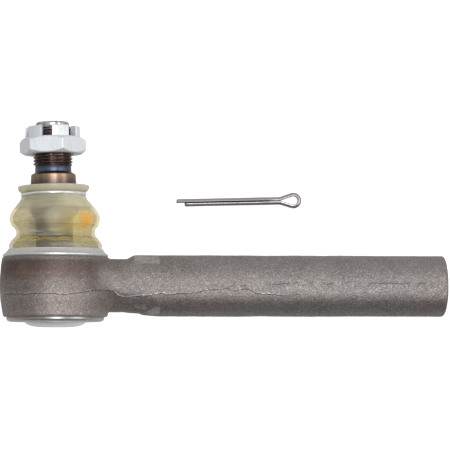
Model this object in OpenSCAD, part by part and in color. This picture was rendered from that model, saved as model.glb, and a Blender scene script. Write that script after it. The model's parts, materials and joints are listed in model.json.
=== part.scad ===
// Heavy-duty female tie rod end with ball stud, dust boot, castle nut and loose split pin.
// Lies on its side: +X runs along the shank to its open end, +Y along the stud towards the nut,
// +Z is up. The origin is the centre of the ball. The stud lies leaning a little. Millimetres.

/* [Shank] */
// distance from the ball's centre to the shank's open end
shank_len = 238; // [160:1:300]
// outer diameter of the shank
shank_d = 37.6; // [30:0.5:46]
// minor diameter of the internal thread
bore_d = 26.4; // [18:0.1:28]
// depth of the internal thread from the open end
bore_depth = 95; // [40:1:130]
// distance from the shank's axis to each wrench flat
flat_dist = 18.2; // [17:0.1:19]
// angle of each wrench flat from the vertical
flat_angle = 57.5; // [40:0.5:70]

/* [Head] */
// greatest radius of the head, at the parting line
head_r = 33.86; // [30:0.1:38]
// height of the head's top face above the ball's centre
head_top = 16.9; // [14:0.1:22]
// radius of the socket bore
socket_r = 23.7; // [20:0.1:26]
// radius of the narrow end of the stud opening
opening_r = 16.5; // [14:0.1:18]
// half height of the neck between head and shank
neck_r = 16.2; // [12:0.1:19]

/* [Ball stud] */
// lean of the stud as it lies, away from the shank
lean = 1.45; // [0:0.05:15]
// radius of the ball
ball_r = 18.5; // [15:0.1:20]
// radius of the stud's neck
stud_neck_r = 11.3; // [9:0.1:13]
// radius of the small end of the taper
taper_small_r = 13.55; // [10:0.05:15]
// height of the small end of the taper
taper_top = 67.3; // [60:0.1:80]
// taper, change of diameter for each unit of length
taper_ratio = 0.125; // [0.08:0.005:0.2]
// nominal thread diameter
thread_d = 24; // [16:1:30]
// thread pitch
pitch = 2; // [1:0.25:3]
// height of the stud's end
stud_top = 99.6; // [90:0.1:120]

/* [Castle nut] */
// width across the flats
nut_af = 36; // [30:0.5:46]
// height of the nut's seat above the ball's centre
nut_z = 79.9; // [74:0.1:82]
// height of the six-sided part
hex_h = 9.9; // [8:0.1:16]
// height of the slotted crown
crown_h = 6.8; // [4:0.1:9]
// radius of the crown
crown_r = 16.7; // [14:0.1:18]
// width of each slot
slot_w = 6.4; // [4:0.1:7]

/* [Boot] */
// greatest radius of the upper bulge
boot_r = 27.45; // [24:0.1:32]
// radius of the waist
waist_r = 23.7; // [20:0.1:27]
// thickness of the boot wall
boot_wall = 2; // [1.2:0.1:3]

/* [Split pin] */
// diameter of the closed legs
pin_d = 4.6; // [3:0.1:6]
// length of the longer leg
pin_long = 65.4; // [40:0.1:80]
// length of the shorter leg
pin_short = 60.3; // [36:0.1:76]
// distance of the loose pin's neck from the ball's centre along the shank
pin_x = 140.1; // [60:0.1:200]
// distance of the loose pin's neck from the ball's centre along the stud
pin_y = 54.9; // [40:0.1:80]

/* [Hidden] */
$fn = 96;
fit = 0.05;
shank_r = shank_d / 2;
thread_r = thread_d / 2;
root_r = thread_r - 0.55 * pitch;
undercut_r = root_r;
slot_turn = 19;
cover_z = -17.15;

function taper_r(z) = taper_small_r + (taper_top - z) * taper_ratio / 2;

module along_x() { rotate([0, 90, 0]) children(); }
module leaning() { rotate([0, -lean, 0]) children(); }

// ---- head, neck and shank: one forging
module head_blank() {
    rotate_extrude()
        polygon([
            [0, head_top + 3.7], [25.0, head_top + 3.7], [25.6, head_top + 3.1],
            [25.6, head_top], [head_r - 1.96, head_top], [head_r - 1.5, head_top - 0.45],
            [head_r - 0.86, 12.4], [head_r - 0.35, 6.3], [head_r, 0.4], [head_r, -1.4],
            [head_r - 0.56, -8.9], [head_r - 1.36, -13.7], [head_r - 2.1, -18.5],
            [head_r - 2.7, -19.2], [29.7, -19.6], [29.5, -20.0], [28.9, -21.0],
            [27.7, -21.85], [25.9, -22.2], [0, -22.2]]);
}

module head_cavity() {
    rotate_extrude()
        polygon([
            [0, 30], [opening_r + (30 - 9.5) * 0.364, 30], [opening_r, 9.5],
            [socket_r, 9.5], [socket_r, -17.05], [24.7, -17.05], [24.7, -19.7],
            [21.6, -19.7], [21.6, -21.7], [22.3, -22.4], [22.3, -24], [0, -24]]);
}

module housing() {
    color("dimgray")
        difference() {
            union() {
                head_blank();
                along_x() cylinder(h = 46, r = neck_r);
                translate([43.4, 0, 0]) along_x() cylinder(h = 4.8, r1 = neck_r, r2 = shank_r);
                translate([48.2, 0, 0]) along_x() cylinder(h = shank_len - 49.2, r = shank_r);
                translate([shank_len - 1, 0, 0]) along_x() cylinder(h = 1, r1 = shank_r, r2 = shank_r - 1);
            }
            head_cavity();
            translate([shank_len - bore_depth, 0, 0]) along_x() cylinder(h = bore_depth + 1, d = bore_d);
            translate([shank_len - bore_depth - 7.5, 0, 0]) along_x() cylinder(h = 7.6, r1 = 0.4, r2 = bore_d / 2);
            translate([shank_len - 1.6, 0, 0]) along_x() cylinder(h = 1.8, r1 = bore_d / 2 - 0.1, r2 = bore_d / 2 + 1.7);
            for (a = [flat_angle, -flat_angle, 180 - flat_angle, 180 + flat_angle])
                rotate([a, 0, 0])
                    translate([47.6, -flat_dist - 5, -8]) cube([15.8, 5, 16]);
        }
}

// ---- ball stud
module ball_stud() {
    color("lightsteelblue")
        difference() {
            rotate_extrude()
                union() {
                    intersection() {
                        circle(r = ball_r);
                        translate([0, -16]) square([ball_r + 1, ball_r + 15.5]);
                    }
                    polygon(concat(
                        [[0, 0], [stud_neck_r, 10], [stud_neck_r, 29], [taper_r(44.5) - 0.5, 43.5],
                            [taper_r(44.5), 44.5], [taper_small_r, taper_top],
                            [undercut_r, taper_top + 1.4], [undercut_r, taper_top + 5]],
                        [for (i = [0:10]) each [[thread_r, 73.2 + i * pitch], [thread_r, 73.5 + i * pitch],
                            [root_r, 74.35 + i * pitch]]],
                        [[thread_r, 95.2], [thread_r, 95.5], [10.25, 97.2], [10.2, 98.7], [9.3, stud_top], [0, stud_top]]));
                }
            // hole for the split pin, in line with one pair of the nut's slots
            rotate([0, 0, slot_turn]) translate([0, 0, nut_z + hex_h + crown_h / 2])
                rotate([0, 90, 0]) cylinder(h = 40, r = 2.5, center = true);
        }
}

// ---- bearing shells
module race(z_low, z_high) {
    difference() {
        translate([0, 0, z_low]) cylinder(h = z_high - z_low, r = socket_r - fit);
        sphere(r = ball_r + fit);
    }
}

module upper_race() { color("ivory") race(0.3, 9.4); }
module lower_race() { color("ivory") race(-12.6, -0.3); }

// ---- conical coil, wound as a swept wire
module preload_spring() {
    wire = 1.4;
    turns = 2.34;
    steps = 84;
    sides = 12;
    z0 = cover_z - 6.15 + wire;
    climb = 7.7;
    pts = [for (i = [0:steps]) let (
            t = i / steps * turns,
            rise = climb * min(1, max(0, (t - 0.5) / (turns - 1))),
            r = 11.5 + 3.8 * t / turns, a = 360 * t)
        for (k = [0:sides - 1]) let (b = 360 * k / sides, rr = r + wire * cos(b))
            [rr * cos(a), rr * sin(a), z0 + rise + wire * sin(b)]];
    side_faces = [for (i = [0:steps - 1]) for (k = [0:sides - 1]) let (
            k2 = (k + 1) % sides, p = i * sides)
        [p + k, p + k2, p + sides + k2, p + sides + k]];
    first = [for (k = [sides - 1:-1:0]) k];
    last = [for (k = [0:sides - 1]) steps * sides + k];
    color("silver")
        polyhedron(points = pts, faces = concat(side_faces, [first, last]), convexity = 6);
}

// ---- pressed cover with a boss
module end_cover() {
    color("gainsboro")
        rotate_extrude()
            polygon([[0, cover_z - 6.17], [13.2, cover_z - 6.17], [15.6, -22.2], [16.9, -21.2], [16.9, cover_z],
                [24.6, cover_z], [24.6, cover_z - 2.5], [18.6, cover_z - 2.5], [18.6, -22.3], [17.9, -23.2],
                [15.3, -24.6], [12.2, -25.2], [9, -25.5], [0, -25.5]]);
}

module cover_seal() {
    color("black")
        rotate_extrude() translate([socket_r - fit - 1, cover_z + 1.02]) circle(r = 1, $fn = 48);
}

// ---- dust boot and its rings
module boot_outside() {
    translate([0, 23.9]) intersection() {
        translate([22, 0]) circle(r = 6.3);
        translate([0, -1.35]) square([40, 12]);
    }
    polygon([[0, head_top + 0.05], [30.3, head_top + 0.05], [29.45, 18.2], [28.3, 19.9], [27.5, 21.4], [27.35, 22.4],
        [27.3, 24], [waist_r, 29], [waist_r, 36], [boot_r - 1.4, 44.85], [19.75, 52.7],
        [19.75, 56.4], [20.5, 56.9], [21.5, 57.9], [21.8, 58.9], [21.6, 59.9], [21.0, 60.5], [0, 60.5]]);
    translate([boot_r - 6.55, 40.4]) circle(r = 6.55);
}

module boot_inside() {
    translate([22, 23.9]) circle(r = 6.3 - boot_wall);
    polygon([[0, 10], [25.65, 10], [25.65, 22], [waist_r - boot_wall, 28], [waist_r - boot_wall, 37],
        [boot_r - 1.9 - boot_wall, 44.3], [17.35, 52.4], [17.35, 62], [0, 62]]);
    translate([boot_r - 6.55, 40.4]) circle(r = 6.55 - boot_wall);
}

module below(z) { intersection() { children(); translate([0, 0]) square([60, z]); } }
module above(z) { intersection() { children(); translate([0, z]) square([60, 60]); } }

// the foot stands square on the head and the upper half leans with the stud
module dust_boot() {
    color("tan")
        difference() {
            union() {
                rotate_extrude() below(32.6) boot_outside();
                leaning() rotate_extrude() above(31.4) boot_outside();
            }
            rotate_extrude() below(32.6) boot_inside();
            leaning() rotate_extrude() above(31.4) boot_inside();
            leaning() rotate_extrude() {
                translate([19.2, 55.35]) circle(r = 0.95, $fn = 48);
                translate([19.2, 54.4]) square([3, 1.9]);
            }
        }
}

module boot_base_ring() {
    color("silver")
        rotate_extrude()
            polygon([[30.5, head_top], [31.9, head_top], [31.95, head_top + 0.5], [30.7, 18.7],
                [29.6, 20.2], [28.8, 21.7], [28.5, 22.45], [27.45, 22.45], [27.6, 21.5],
                [28.4, 20.0], [29.55, 18.3]]);
}

module boot_top_ring() {
    color("silver")
        rotate_extrude() translate([19.2, 55.35]) circle(r = 0.9, $fn = 48);
}

module boot_slip_ring() {
    color("dimgray")
        rotate_extrude()
            polygon([[taper_r(52.8) + 0.3, 52.8], [17.3, 52.8], [17.3, 60.4], [taper_r(60.4) + 0.3, 60.4]]);
}

// ---- castle nut
module castle_nut() {
    color("silver")
        difference() {
            union() {
                intersection() {
                    translate([0, 0, nut_z]) rotate([0, 0, slot_turn - 30])
                        cylinder(h = hex_h, r = nut_af / 2 / cos(30), $fn = 6);
                    rotate_extrude()
                        polygon([[0, nut_z], [nut_af / 2 - 0.2, nut_z], [nut_af / 2 + 3.1, nut_z + 2.1],
                            [nut_af / 2 + 3.1, nut_z + hex_h - 2.1], [nut_af / 2 - 0.3, nut_z + hex_h],
                            [0, nut_z + hex_h]]);
                }
                translate([0, 0, nut_z + hex_h - 1]) cylinder(h = crown_h + 0.4, r = crown_r);
                translate([0, 0, nut_z + hex_h + crown_h - 0.6]) cylinder(h = 0.6, r1 = crown_r, r2 = crown_r - 0.6);
            }
            translate([0, 0, nut_z - 1]) cylinder(h = hex_h + crown_h + 2, r = thread_r + fit);
            translate([0, 0, nut_z - 0.01]) cylinder(h = 1.2, r1 = thread_r + 1.2, r2 = thread_r);
            for (a = [0, 60, 120])
                rotate([0, 0, slot_turn + a])
                    translate([-25, -slot_w / 2, nut_z + hex_h + 0.25]) cube([50, slot_w, crown_h + 1]);
        }
}

// ---- loose split pin, lying flat beside the shank
module half_round(length) {
    along_x() intersection() {
        cylinder(h = length, r = pin_d / 2);
        translate([-pin_d, 0.08, -1]) cube([2 * pin_d, pin_d, length + 2]);
    }
}

module cotter_pin() {
    eye_in = 2.8;
    eye_x = 8.45;
    lean = asin(eye_in / eye_x);
    reach = eye_x * cos(lean);
    color("silver")
        translate([pin_x, pin_y, -head_r + pin_d / 2]) rotate([0, 0, 1.46]) {
            translate([-pin_long, 0, 0]) half_round(pin_long);
            mirror([0, 1, 0]) translate([-pin_short, 0, 0]) half_round(pin_short);
            rotate([0, 0, lean]) half_round(reach);
            mirror([0, 1, 0]) rotate([0, 0, lean]) half_round(reach);
            intersection() {
                sphere(r = pin_d / 2);
                translate([-1.2, -3, -3]) cube([2, 6, 6]);
            }
            translate([eye_x, 0, 0])
                rotate([0, 0, -90 - lean - 0.5]) rotate_extrude(angle = 180 + 2 * lean + 1)
                    translate([eye_in, 0]) intersection() {
                        circle(r = pin_d / 2);
                        translate([0, -pin_d]) square([pin_d, 2 * pin_d]);
                    }
        }
}

rotate([-90, 0, 0]) housing();
rotate([-90, 0, 0]) leaning() ball_stud();
rotate([-90, 0, 0]) upper_race();
rotate([-90, 0, 0]) lower_race();
rotate([-90, 0, 0]) preload_spring();
rotate([-90, 0, 0]) end_cover();
rotate([-90, 0, 0]) cover_seal();
rotate([-90, 0, 0]) dust_boot();
rotate([-90, 0, 0]) boot_base_ring();
rotate([-90, 0, 0]) leaning() boot_top_ring();
rotate([-90, 0, 0]) leaning() boot_slip_ring();
rotate([-90, 0, 0]) leaning() castle_nut();
cotter_pin();
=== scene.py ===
import json
import math
import bpy
import bmesh
import numpy as np
from mathutils import Matrix, Vector


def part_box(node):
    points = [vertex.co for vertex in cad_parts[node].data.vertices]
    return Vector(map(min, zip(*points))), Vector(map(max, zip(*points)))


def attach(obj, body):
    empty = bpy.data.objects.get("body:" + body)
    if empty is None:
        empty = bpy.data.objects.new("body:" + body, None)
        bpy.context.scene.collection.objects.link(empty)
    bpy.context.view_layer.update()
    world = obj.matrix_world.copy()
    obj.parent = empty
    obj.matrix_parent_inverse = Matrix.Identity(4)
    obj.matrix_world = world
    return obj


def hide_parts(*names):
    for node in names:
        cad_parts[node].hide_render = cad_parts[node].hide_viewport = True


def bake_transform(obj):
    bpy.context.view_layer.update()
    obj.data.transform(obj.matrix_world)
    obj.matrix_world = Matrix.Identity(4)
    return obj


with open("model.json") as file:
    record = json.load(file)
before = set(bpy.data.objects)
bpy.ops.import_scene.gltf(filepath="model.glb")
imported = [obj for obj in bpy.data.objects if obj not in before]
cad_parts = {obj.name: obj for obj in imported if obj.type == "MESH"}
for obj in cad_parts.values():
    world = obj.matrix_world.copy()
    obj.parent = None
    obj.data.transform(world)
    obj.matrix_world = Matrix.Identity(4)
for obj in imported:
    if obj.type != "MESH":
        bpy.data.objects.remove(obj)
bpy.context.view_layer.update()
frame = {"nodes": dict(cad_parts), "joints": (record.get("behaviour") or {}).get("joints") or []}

# ------------------------------------------------------------------ sizes, in millimetres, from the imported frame
MM = 1000.0
h_lo, h_hi = [np.array(v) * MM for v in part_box("housing")]
HEAD_R = -h_lo[0]
SHANK_LEN = h_hi[0]
SHANK_R = 18.7
NECK_R = 16.2
HEAD_TOP = h_hi[1] - 3.7
SPIN_AXIS = next(j for j in frame["joints"] if j["name"] == "spin")["axis"]
LEAN = math.atan2(-SPIN_AXIS[0], SPIN_AXIS[1])
RNG = np.random.default_rng(7)
COL = bpy.context.scene.collection


def to_row(p):
    """Stud-up millimetres to the row frame in metres."""
    p = np.asarray(p, float)
    return np.stack([p[:, 0], p[:, 2], -p[:, 1]], 1) / MM


def leaning(p, share=1.0):
    """Turns stud-up points about the ball's centre, as the stud lies."""
    p = np.asarray(p, float)
    a = LEAN * share
    c, s = np.cos(a), np.sin(a)
    return np.stack([p[:, 0] * c - p[:, 2] * s, p[:, 1], p[:, 0] * s + p[:, 2] * c], 1)


def smooth(x, a, b):
    t = np.clip((np.asarray(x, float) - a) / (b - a), 0, 1)
    return t * t * (3 - 2 * t)


# ------------------------------------------------------------------ value noise, seeded and vectorised
_PERM = RNG.permutation(256)
_VAL = RNG.uniform(-1, 1, 256)


def noise3(p, scale=1.0, seed=0):
    p = np.asarray(p, float) / scale + seed * 17.31
    i = np.floor(p).astype(int)
    f = p - i
    u = f * f * (3 - 2 * f)
    out = 0.0
    for dx in (0, 1):
        for dy in (0, 1):
            for dz in (0, 1):
                h = _PERM[(_PERM[(_PERM[(i[:, 0] + dx) & 255] + i[:, 1] + dy) & 255] + i[:, 2] + dz) & 255]
                w = ((u[:, 0] if dx else 1 - u[:, 0]) * (u[:, 1] if dy else 1 - u[:, 1])
                     * (u[:, 2] if dz else 1 - u[:, 2]))
                out = out + w * _VAL[h]
    return out


def fbm(p, scale, octaves=3, seed=0):
    out, a = 0.0, 1.0
    for k in range(octaves):
        out = out + a * noise3(p, scale / 2 ** k, seed + k)
        a *= 0.5
    return out


# ------------------------------------------------------------------ mesh helpers
def make(name, verts, faces, body, mats, sharp=None, smooth_shade=True, mat_index=None, replaces=()):
    me = bpy.data.meshes.new(name)
    me.from_pydata([tuple(v) for v in verts], [], [tuple(int(i) for i in f) for f in faces])
    me.validate()
    ob = bpy.data.objects.new(name, me)
    COL.objects.link(ob)
    for m in (mats if isinstance(mats, (list, tuple)) else [mats]):
        me.materials.append(m)
    if mat_index is not None and len(mat_index) == len(me.polygons):
        me.polygons.foreach_set("material_index", np.asarray(mat_index, np.int32))
    if smooth_shade:
        me.polygons.foreach_set("use_smooth", np.ones(len(me.polygons), bool))
        if sharp:
            me.set_sharp_from_angle(angle=math.radians(sharp))
    me.update()
    if body:
        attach(ob, body)
    if replaces:
        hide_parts(*replaces)
    return ob


def rounded(pts, default=0.0, seg=4):
    """Rounds the corners of a profile of (r, z) or (r, z, radius)."""
    out = []
    n = len(pts)
    for i, p in enumerate(pts):
        rad = p[2] if len(p) > 2 else default
        a = np.array(p[:2], float)
        if i in (0, n - 1) or rad <= 0:
            out.append(a)
            continue
        b = np.array(pts[i - 1][:2], float) - a
        c = np.array(pts[i + 1][:2], float) - a
        lb, lc = np.linalg.norm(b), np.linalg.norm(c)
        if lb < 1e-9 or lc < 1e-9:
            out.append(a)
            continue
        b, c = b / lb, c / lc
        ang = math.acos(max(-1, min(1, float(b @ c))))
        if ang > math.pi - 0.03:
            out.append(a)
            continue
        t = min(rad / math.tan(ang / 2), lb * 0.48, lc * 0.48)
        r = t * math.tan(ang / 2)
        bis = (b + c) / np.linalg.norm(b + c)
        centre = a + bis * (r / math.sin(ang / 2))
        p0, p1 = a + b * t, a + c * t
        a0 = math.atan2(*(p0 - centre)[::-1])
        a1 = math.atan2(*(p1 - centre)[::-1])
        d = (a1 - a0 + math.pi) % (2 * math.pi) - math.pi
        for k in range(seg + 1):
            q = a0 + d * k / seg
            out.append(centre + r * np.array([math.cos(q), math.sin(q)]))
    return np.array(out)


def refine(profile, step):
    out = [profile[0]]
    for a, b in zip(profile[:-1], profile[1:]):
        n = max(1, int(math.ceil(np.linalg.norm(b - a) / step)))
        for k in range(1, n + 1):
            out.append(a + (b - a) * k / n)
    return np.array(out)


def lathe(profile, n=128, closed=False):
    """Revolves (r, z) about the stud's axis. Points with r 0 become poles. Faces point out when the profile runs downwards on its outside."""
    prof = np.asarray(profile, float)
    th = np.arange(n) * 2 * math.pi / n
    verts, rings = [], []
    for r, z in prof:
        if r < 1e-6:
            rings.append([len(verts)])
            verts.append([0, 0, z])
        else:
            rings.append(list(range(len(verts), len(verts) + n)))
            verts.extend(np.stack([r * np.cos(th), r * np.sin(th), np.full(n, z)], 1).tolist())
    faces = []
    pairs = list(zip(range(len(rings) - 1), range(1, len(rings))))
    if closed:
        pairs.append((len(rings) - 1, 0))
    for i, j in pairs:
        a, b = rings[i], rings[j]
        if len(a) == 1 and len(b) == 1:
            continue
        for k in range(n):
            k2 = (k + 1) % n
            if len(a) == 1:
                faces.append((a[0], b[k], b[k2]))
            elif len(b) == 1:
                faces.append((a[k], b[0], a[k2]))
            else:
                faces.append((a[k], b[k], b[k2], a[k2]))
    return np.array(verts), faces


def fix_normals(ob):
    bm = bmesh.new()
    bm.from_mesh(ob.data)
    bmesh.ops.recalc_face_normals(bm, faces=bm.faces)
    bm.to_mesh(ob.data)
    bm.free()


# ------------------------------------------------------------------ implicit surfaces
def sd_polygon(r, z, pts):
    """Exact signed distance to a closed polygon in the (r, z) plane."""
    pts = np.asarray(pts, float)
    d = np.full(r.shape, 1e18)
    s = np.ones(r.shape)
    n = len(pts)
    for i in range(n):
        vi, vj = pts[i], pts[i - 1]
        e = vj - vi
        wx, wy = r - vi[0], z - vi[1]
        t = np.clip((wx * e[0] + wy * e[1]) / (e @ e), 0, 1)
        bx, by = wx - e[0] * t, wy - e[1] * t
        d = np.minimum(d, bx * bx + by * by)
        c1, c2, c3 = z >= vi[1], z < vj[1], e[0] * wy > e[1] * wx
        flip = (c1 & c2 & c3) | (~c1 & ~c2 & ~c3)
        s = np.where(flip, -s, s)
    return s * np.sqrt(d)


def fillet_union(a, b, k):
    return np.maximum(k, np.minimum(a, b)) - np.sqrt(np.maximum(k - a, 0) ** 2 + np.maximum(k - b, 0) ** 2)


def round_max(a, b, k):
    return np.minimum(-k, np.maximum(a, b)) + np.sqrt(np.maximum(k + a, 0) ** 2 + np.maximum(k + b, 0) ** 2)


def surface_nets(f, lo, hi, h, newton=3):
    """Quad mesh of f = 0 with its points pulled onto the surface."""
    lo, hi = np.array(lo, float), np.array(hi, float)
    n = np.ceil((hi - lo) / h).astype(int) + 1
    xs = [lo[k] + h * np.arange(n[k]) for k in range(3)]
    V = np.empty(n)
    yy, zz = np.meshgrid(xs[1], xs[2], indexing="ij")
    for i, x in enumerate(xs[0]):
        V[i] = f(np.full(yy.size, x), yy.ravel(), zz.ravel()).reshape(yy.shape)
    ins = V < 0
    c = [ins[a:a + n[0] - 1, b:b + n[1] - 1, d:d + n[2] - 1] for a in (0, 1) for b in (0, 1) for d in (0, 1)]
    count = sum(x.astype(np.int8) for x in c)
    cells = np.argwhere((count > 0) & (count < 8))
    index = -np.ones(n - 1, int)
    index[tuple(cells.T)] = np.arange(len(cells))
    acc = np.zeros((len(cells), 3))
    num = np.zeros(len(cells))
    corners = [(a, b, d) for a in (0, 1) for b in (0, 1) for d in (0, 1)]
    for p in range(8):
        for q in range(p + 1, 8):
            a, b = np.array(corners[p]), np.array(corners[q])
            if np.abs(a - b).sum() != 1:
                continue
            va = V[tuple((cells + a).T)]
            vb = V[tuple((cells + b).T)]
            cross = (va < 0) != (vb < 0)
            t = np.where(cross, va / np.where(cross, va - vb, 1), 0)
            pos = a + (b - a) * t[:, None]
            acc += np.where(cross[:, None], pos, 0)
            num += cross
    verts = lo + (cells + acc / num[:, None]) * h
    faces = []
    for ax in range(3):
        u, v = (ax + 1) % 3, (ax + 2) % 3
        sl0 = [slice(None)] * 3
        sl1 = [slice(None)] * 3
        sl0[ax], sl1[ax] = slice(0, n[ax] - 1), slice(1, n[ax])
        a, b = ins[tuple(sl0)], ins[tuple(sl1)]
        for sign, mask in ((1, a & ~b), (-1, ~a & b)):
            e = np.argwhere(mask)
            ok = (e[:, u] > 0) & (e[:, v] > 0) & (e[:, u] < n[u] - 1) & (e[:, v] < n[v] - 1)
            e = e[ok]
            quad = []
            for du, dv in ((0, 0), (-1, 0), (-1, -1), (0, -1)):
                q = e.copy()
                q[:, u] += du
                q[:, v] += dv
                quad.append(index[tuple(q.T)])
            quad = np.stack(quad, 1)
            faces.append(quad if sign > 0 else quad[:, ::-1])
    faces = np.concatenate(faces)
    verts = pull(f, verts, newton, h)
    return verts, faces


def gradient(f, p, e=0.02):
    g = []
    for k in range(3):
        a, b = p.copy(), p.copy()
        a[:, k] += e
        b[:, k] -= e
        g.append((f(*a.T) - f(*b.T)) / (2 * e))
    return np.stack(g, 1)


def pull(f, p, steps, h):
    start = p.copy()
    for _ in range(steps):
        g = gradient(f, p)
        m = np.maximum((g ** 2).sum(1), 0.2)
        move = -f(*p.T)[:, None] * g / m[:, None]
        ln = np.linalg.norm(move, axis=1, keepdims=True)
        p = p + move * np.minimum(1, 0.5 * h / np.maximum(ln, 1e-9))
    far = np.linalg.norm(p - start, axis=1, keepdims=True)
    return start + (p - start) * np.minimum(1, 0.9 * h / np.maximum(far, 1e-9))


# ------------------------------------------------------------------ materials
PIN_AT, PIN_TURN = (140.1, 54.68), math.radians(1.46)


def rgb(*c):
    c = [v / 255 for v in c]
    return tuple(v / 12.92 if v <= 0.04045 else ((v + 0.055) / 1.055) ** 2.4 for v in c) + (1.0,)


class Paint:
    """Builds one procedural material. Positions are in millimetres in the row frame."""

    def __init__(self, name):
        self.m = bpy.data.materials.new(name)
        self.m.use_nodes = True
        self.t = self.m.node_tree
        self.t.nodes.clear()
        self.out = self.t.nodes.new("ShaderNodeOutputMaterial")
        tc = self.t.nodes.new("ShaderNodeTexCoord")
        vm = self.t.nodes.new("ShaderNodeVectorMath")
        vm.operation = "SCALE"
        vm.inputs["Scale"].default_value = 1000.0
        self.t.links.new(tc.outputs["Object"], vm.inputs[0])
        self.p = vm.outputs[0]
        sp = self.t.nodes.new("ShaderNodeSeparateXYZ")
        self.t.links.new(self.p, sp.inputs[0])
        self.x, self.y, self.z = sp.outputs

    def put(self, sock, v):
        if isinstance(v, bpy.types.NodeSocket):
            self.t.links.new(v, sock)
        else:
            sock.default_value = v

    def math(self, op, a, b=0.0, clamp=False):
        n = self.t.nodes.new("ShaderNodeMath")
        n.operation = op
        n.use_clamp = clamp
        self.put(n.inputs[0], a)
        self.put(n.inputs[1], b)
        return n.outputs[0]

    def step(self, v, a, b, lo=0.0, hi=1.0):
        n = self.t.nodes.new("ShaderNodeMapRange")
        n.interpolation_type = "SMOOTHSTEP"
        self.put(n.inputs["Value"], v)
        for k, w in (("From Min", a), ("From Max", b), ("To Min", lo), ("To Max", hi)):
            n.inputs[k].default_value = w
        return n.outputs["Result"]

    def step2(self, v, a, b):
        """Straight rise from 0 at a to 1 at b."""
        return self.math("DIVIDE", self.math("SUBTRACT", v, a), b - a, True)

    def noise(self, size, detail=2.0, rough=0.5, stretch=None, warp=0.0):
        """Noise whose features are about size millimetres across, from 0 to 1."""
        n = self.t.nodes.new("ShaderNodeTexNoise")
        n.inputs["Scale"].default_value = 1.0 / size
        n.inputs["Detail"].default_value = detail
        n.inputs["Roughness"].default_value = rough
        n.inputs["Distortion"].default_value = warp
        v = self.p
        if stretch:
            s = self.t.nodes.new("ShaderNodeVectorMath")
            s.operation = "MULTIPLY"
            self.put(s.inputs[0], v)
            s.inputs[1].default_value = stretch
            v = s.outputs[0]
        self.put(n.inputs["Vector"], v)
        return n.outputs["Fac"]

    def near(self, point, inner, outer, stretch=(1, 1, 1), wobble=0.0):
        """1 within inner millimetres of a point and 0 beyond outer."""
        s = self.t.nodes.new("ShaderNodeVectorMath")
        s.operation = "MULTIPLY"
        self.put(s.inputs[0], self.p)
        s.inputs[1].default_value = stretch
        d = self.t.nodes.new("ShaderNodeVectorMath")
        d.operation = "DISTANCE"
        self.put(d.inputs[0], s.outputs[0])
        d.inputs[1].default_value = [a * b for a, b in zip(point, stretch)]
        v = d.outputs["Value"]
        if wobble:
            v = self.math("ADD", v, self.math("MULTIPLY", self.math("SUBTRACT", self.noise(outer * 0.5, 3), 0.5), wobble * 2))
        return self.step(v, outer, inner)

    def mix(self, fac, a, b, mode="MIX"):
        n = self.t.nodes.new("ShaderNodeMix")
        n.data_type = "RGBA"
        n.blend_type = mode
        self.put(n.inputs["Factor"], fac)
        self.put(n.inputs[6], a)
        self.put(n.inputs[7], b)
        return n.outputs[2]

    def ramp(self, fac, stops, ease=True):
        n = self.t.nodes.new("ShaderNodeValToRGB")
        n.color_ramp.interpolation = "EASE" if ease else "LINEAR"
        e = n.color_ramp.elements
        while len(e) > 1:
            e.remove(e[0])
        e[0].position, e[0].color = stops[0]
        for pos, col in stops[1:]:
            k = e.new(pos)
            k.color = col
        self.put(n.inputs[0], fac)
        return n.outputs[0]

    def bump(self, height, depth, normal=None, strength=1.0):
        """depth in millimetres."""
        n = self.t.nodes.new("ShaderNodeBump")
        n.inputs["Strength"].default_value = strength
        n.inputs["Distance"].default_value = depth / MM
        self.put(n.inputs["Height"], height)
        if normal is not None:
            self.put(n.inputs["Normal"], normal)
        return n.outputs[0]

    def shader(self, **kw):
        n = self.t.nodes.new("ShaderNodeBsdfPrincipled")
        for k, v in kw.items():
            self.put(n.inputs[k.replace("_", " ")], v)
        return n.outputs[0]

    def done(self, surface):
        self.t.links.new(surface, self.out.inputs["Surface"])
        return self.m


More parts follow.
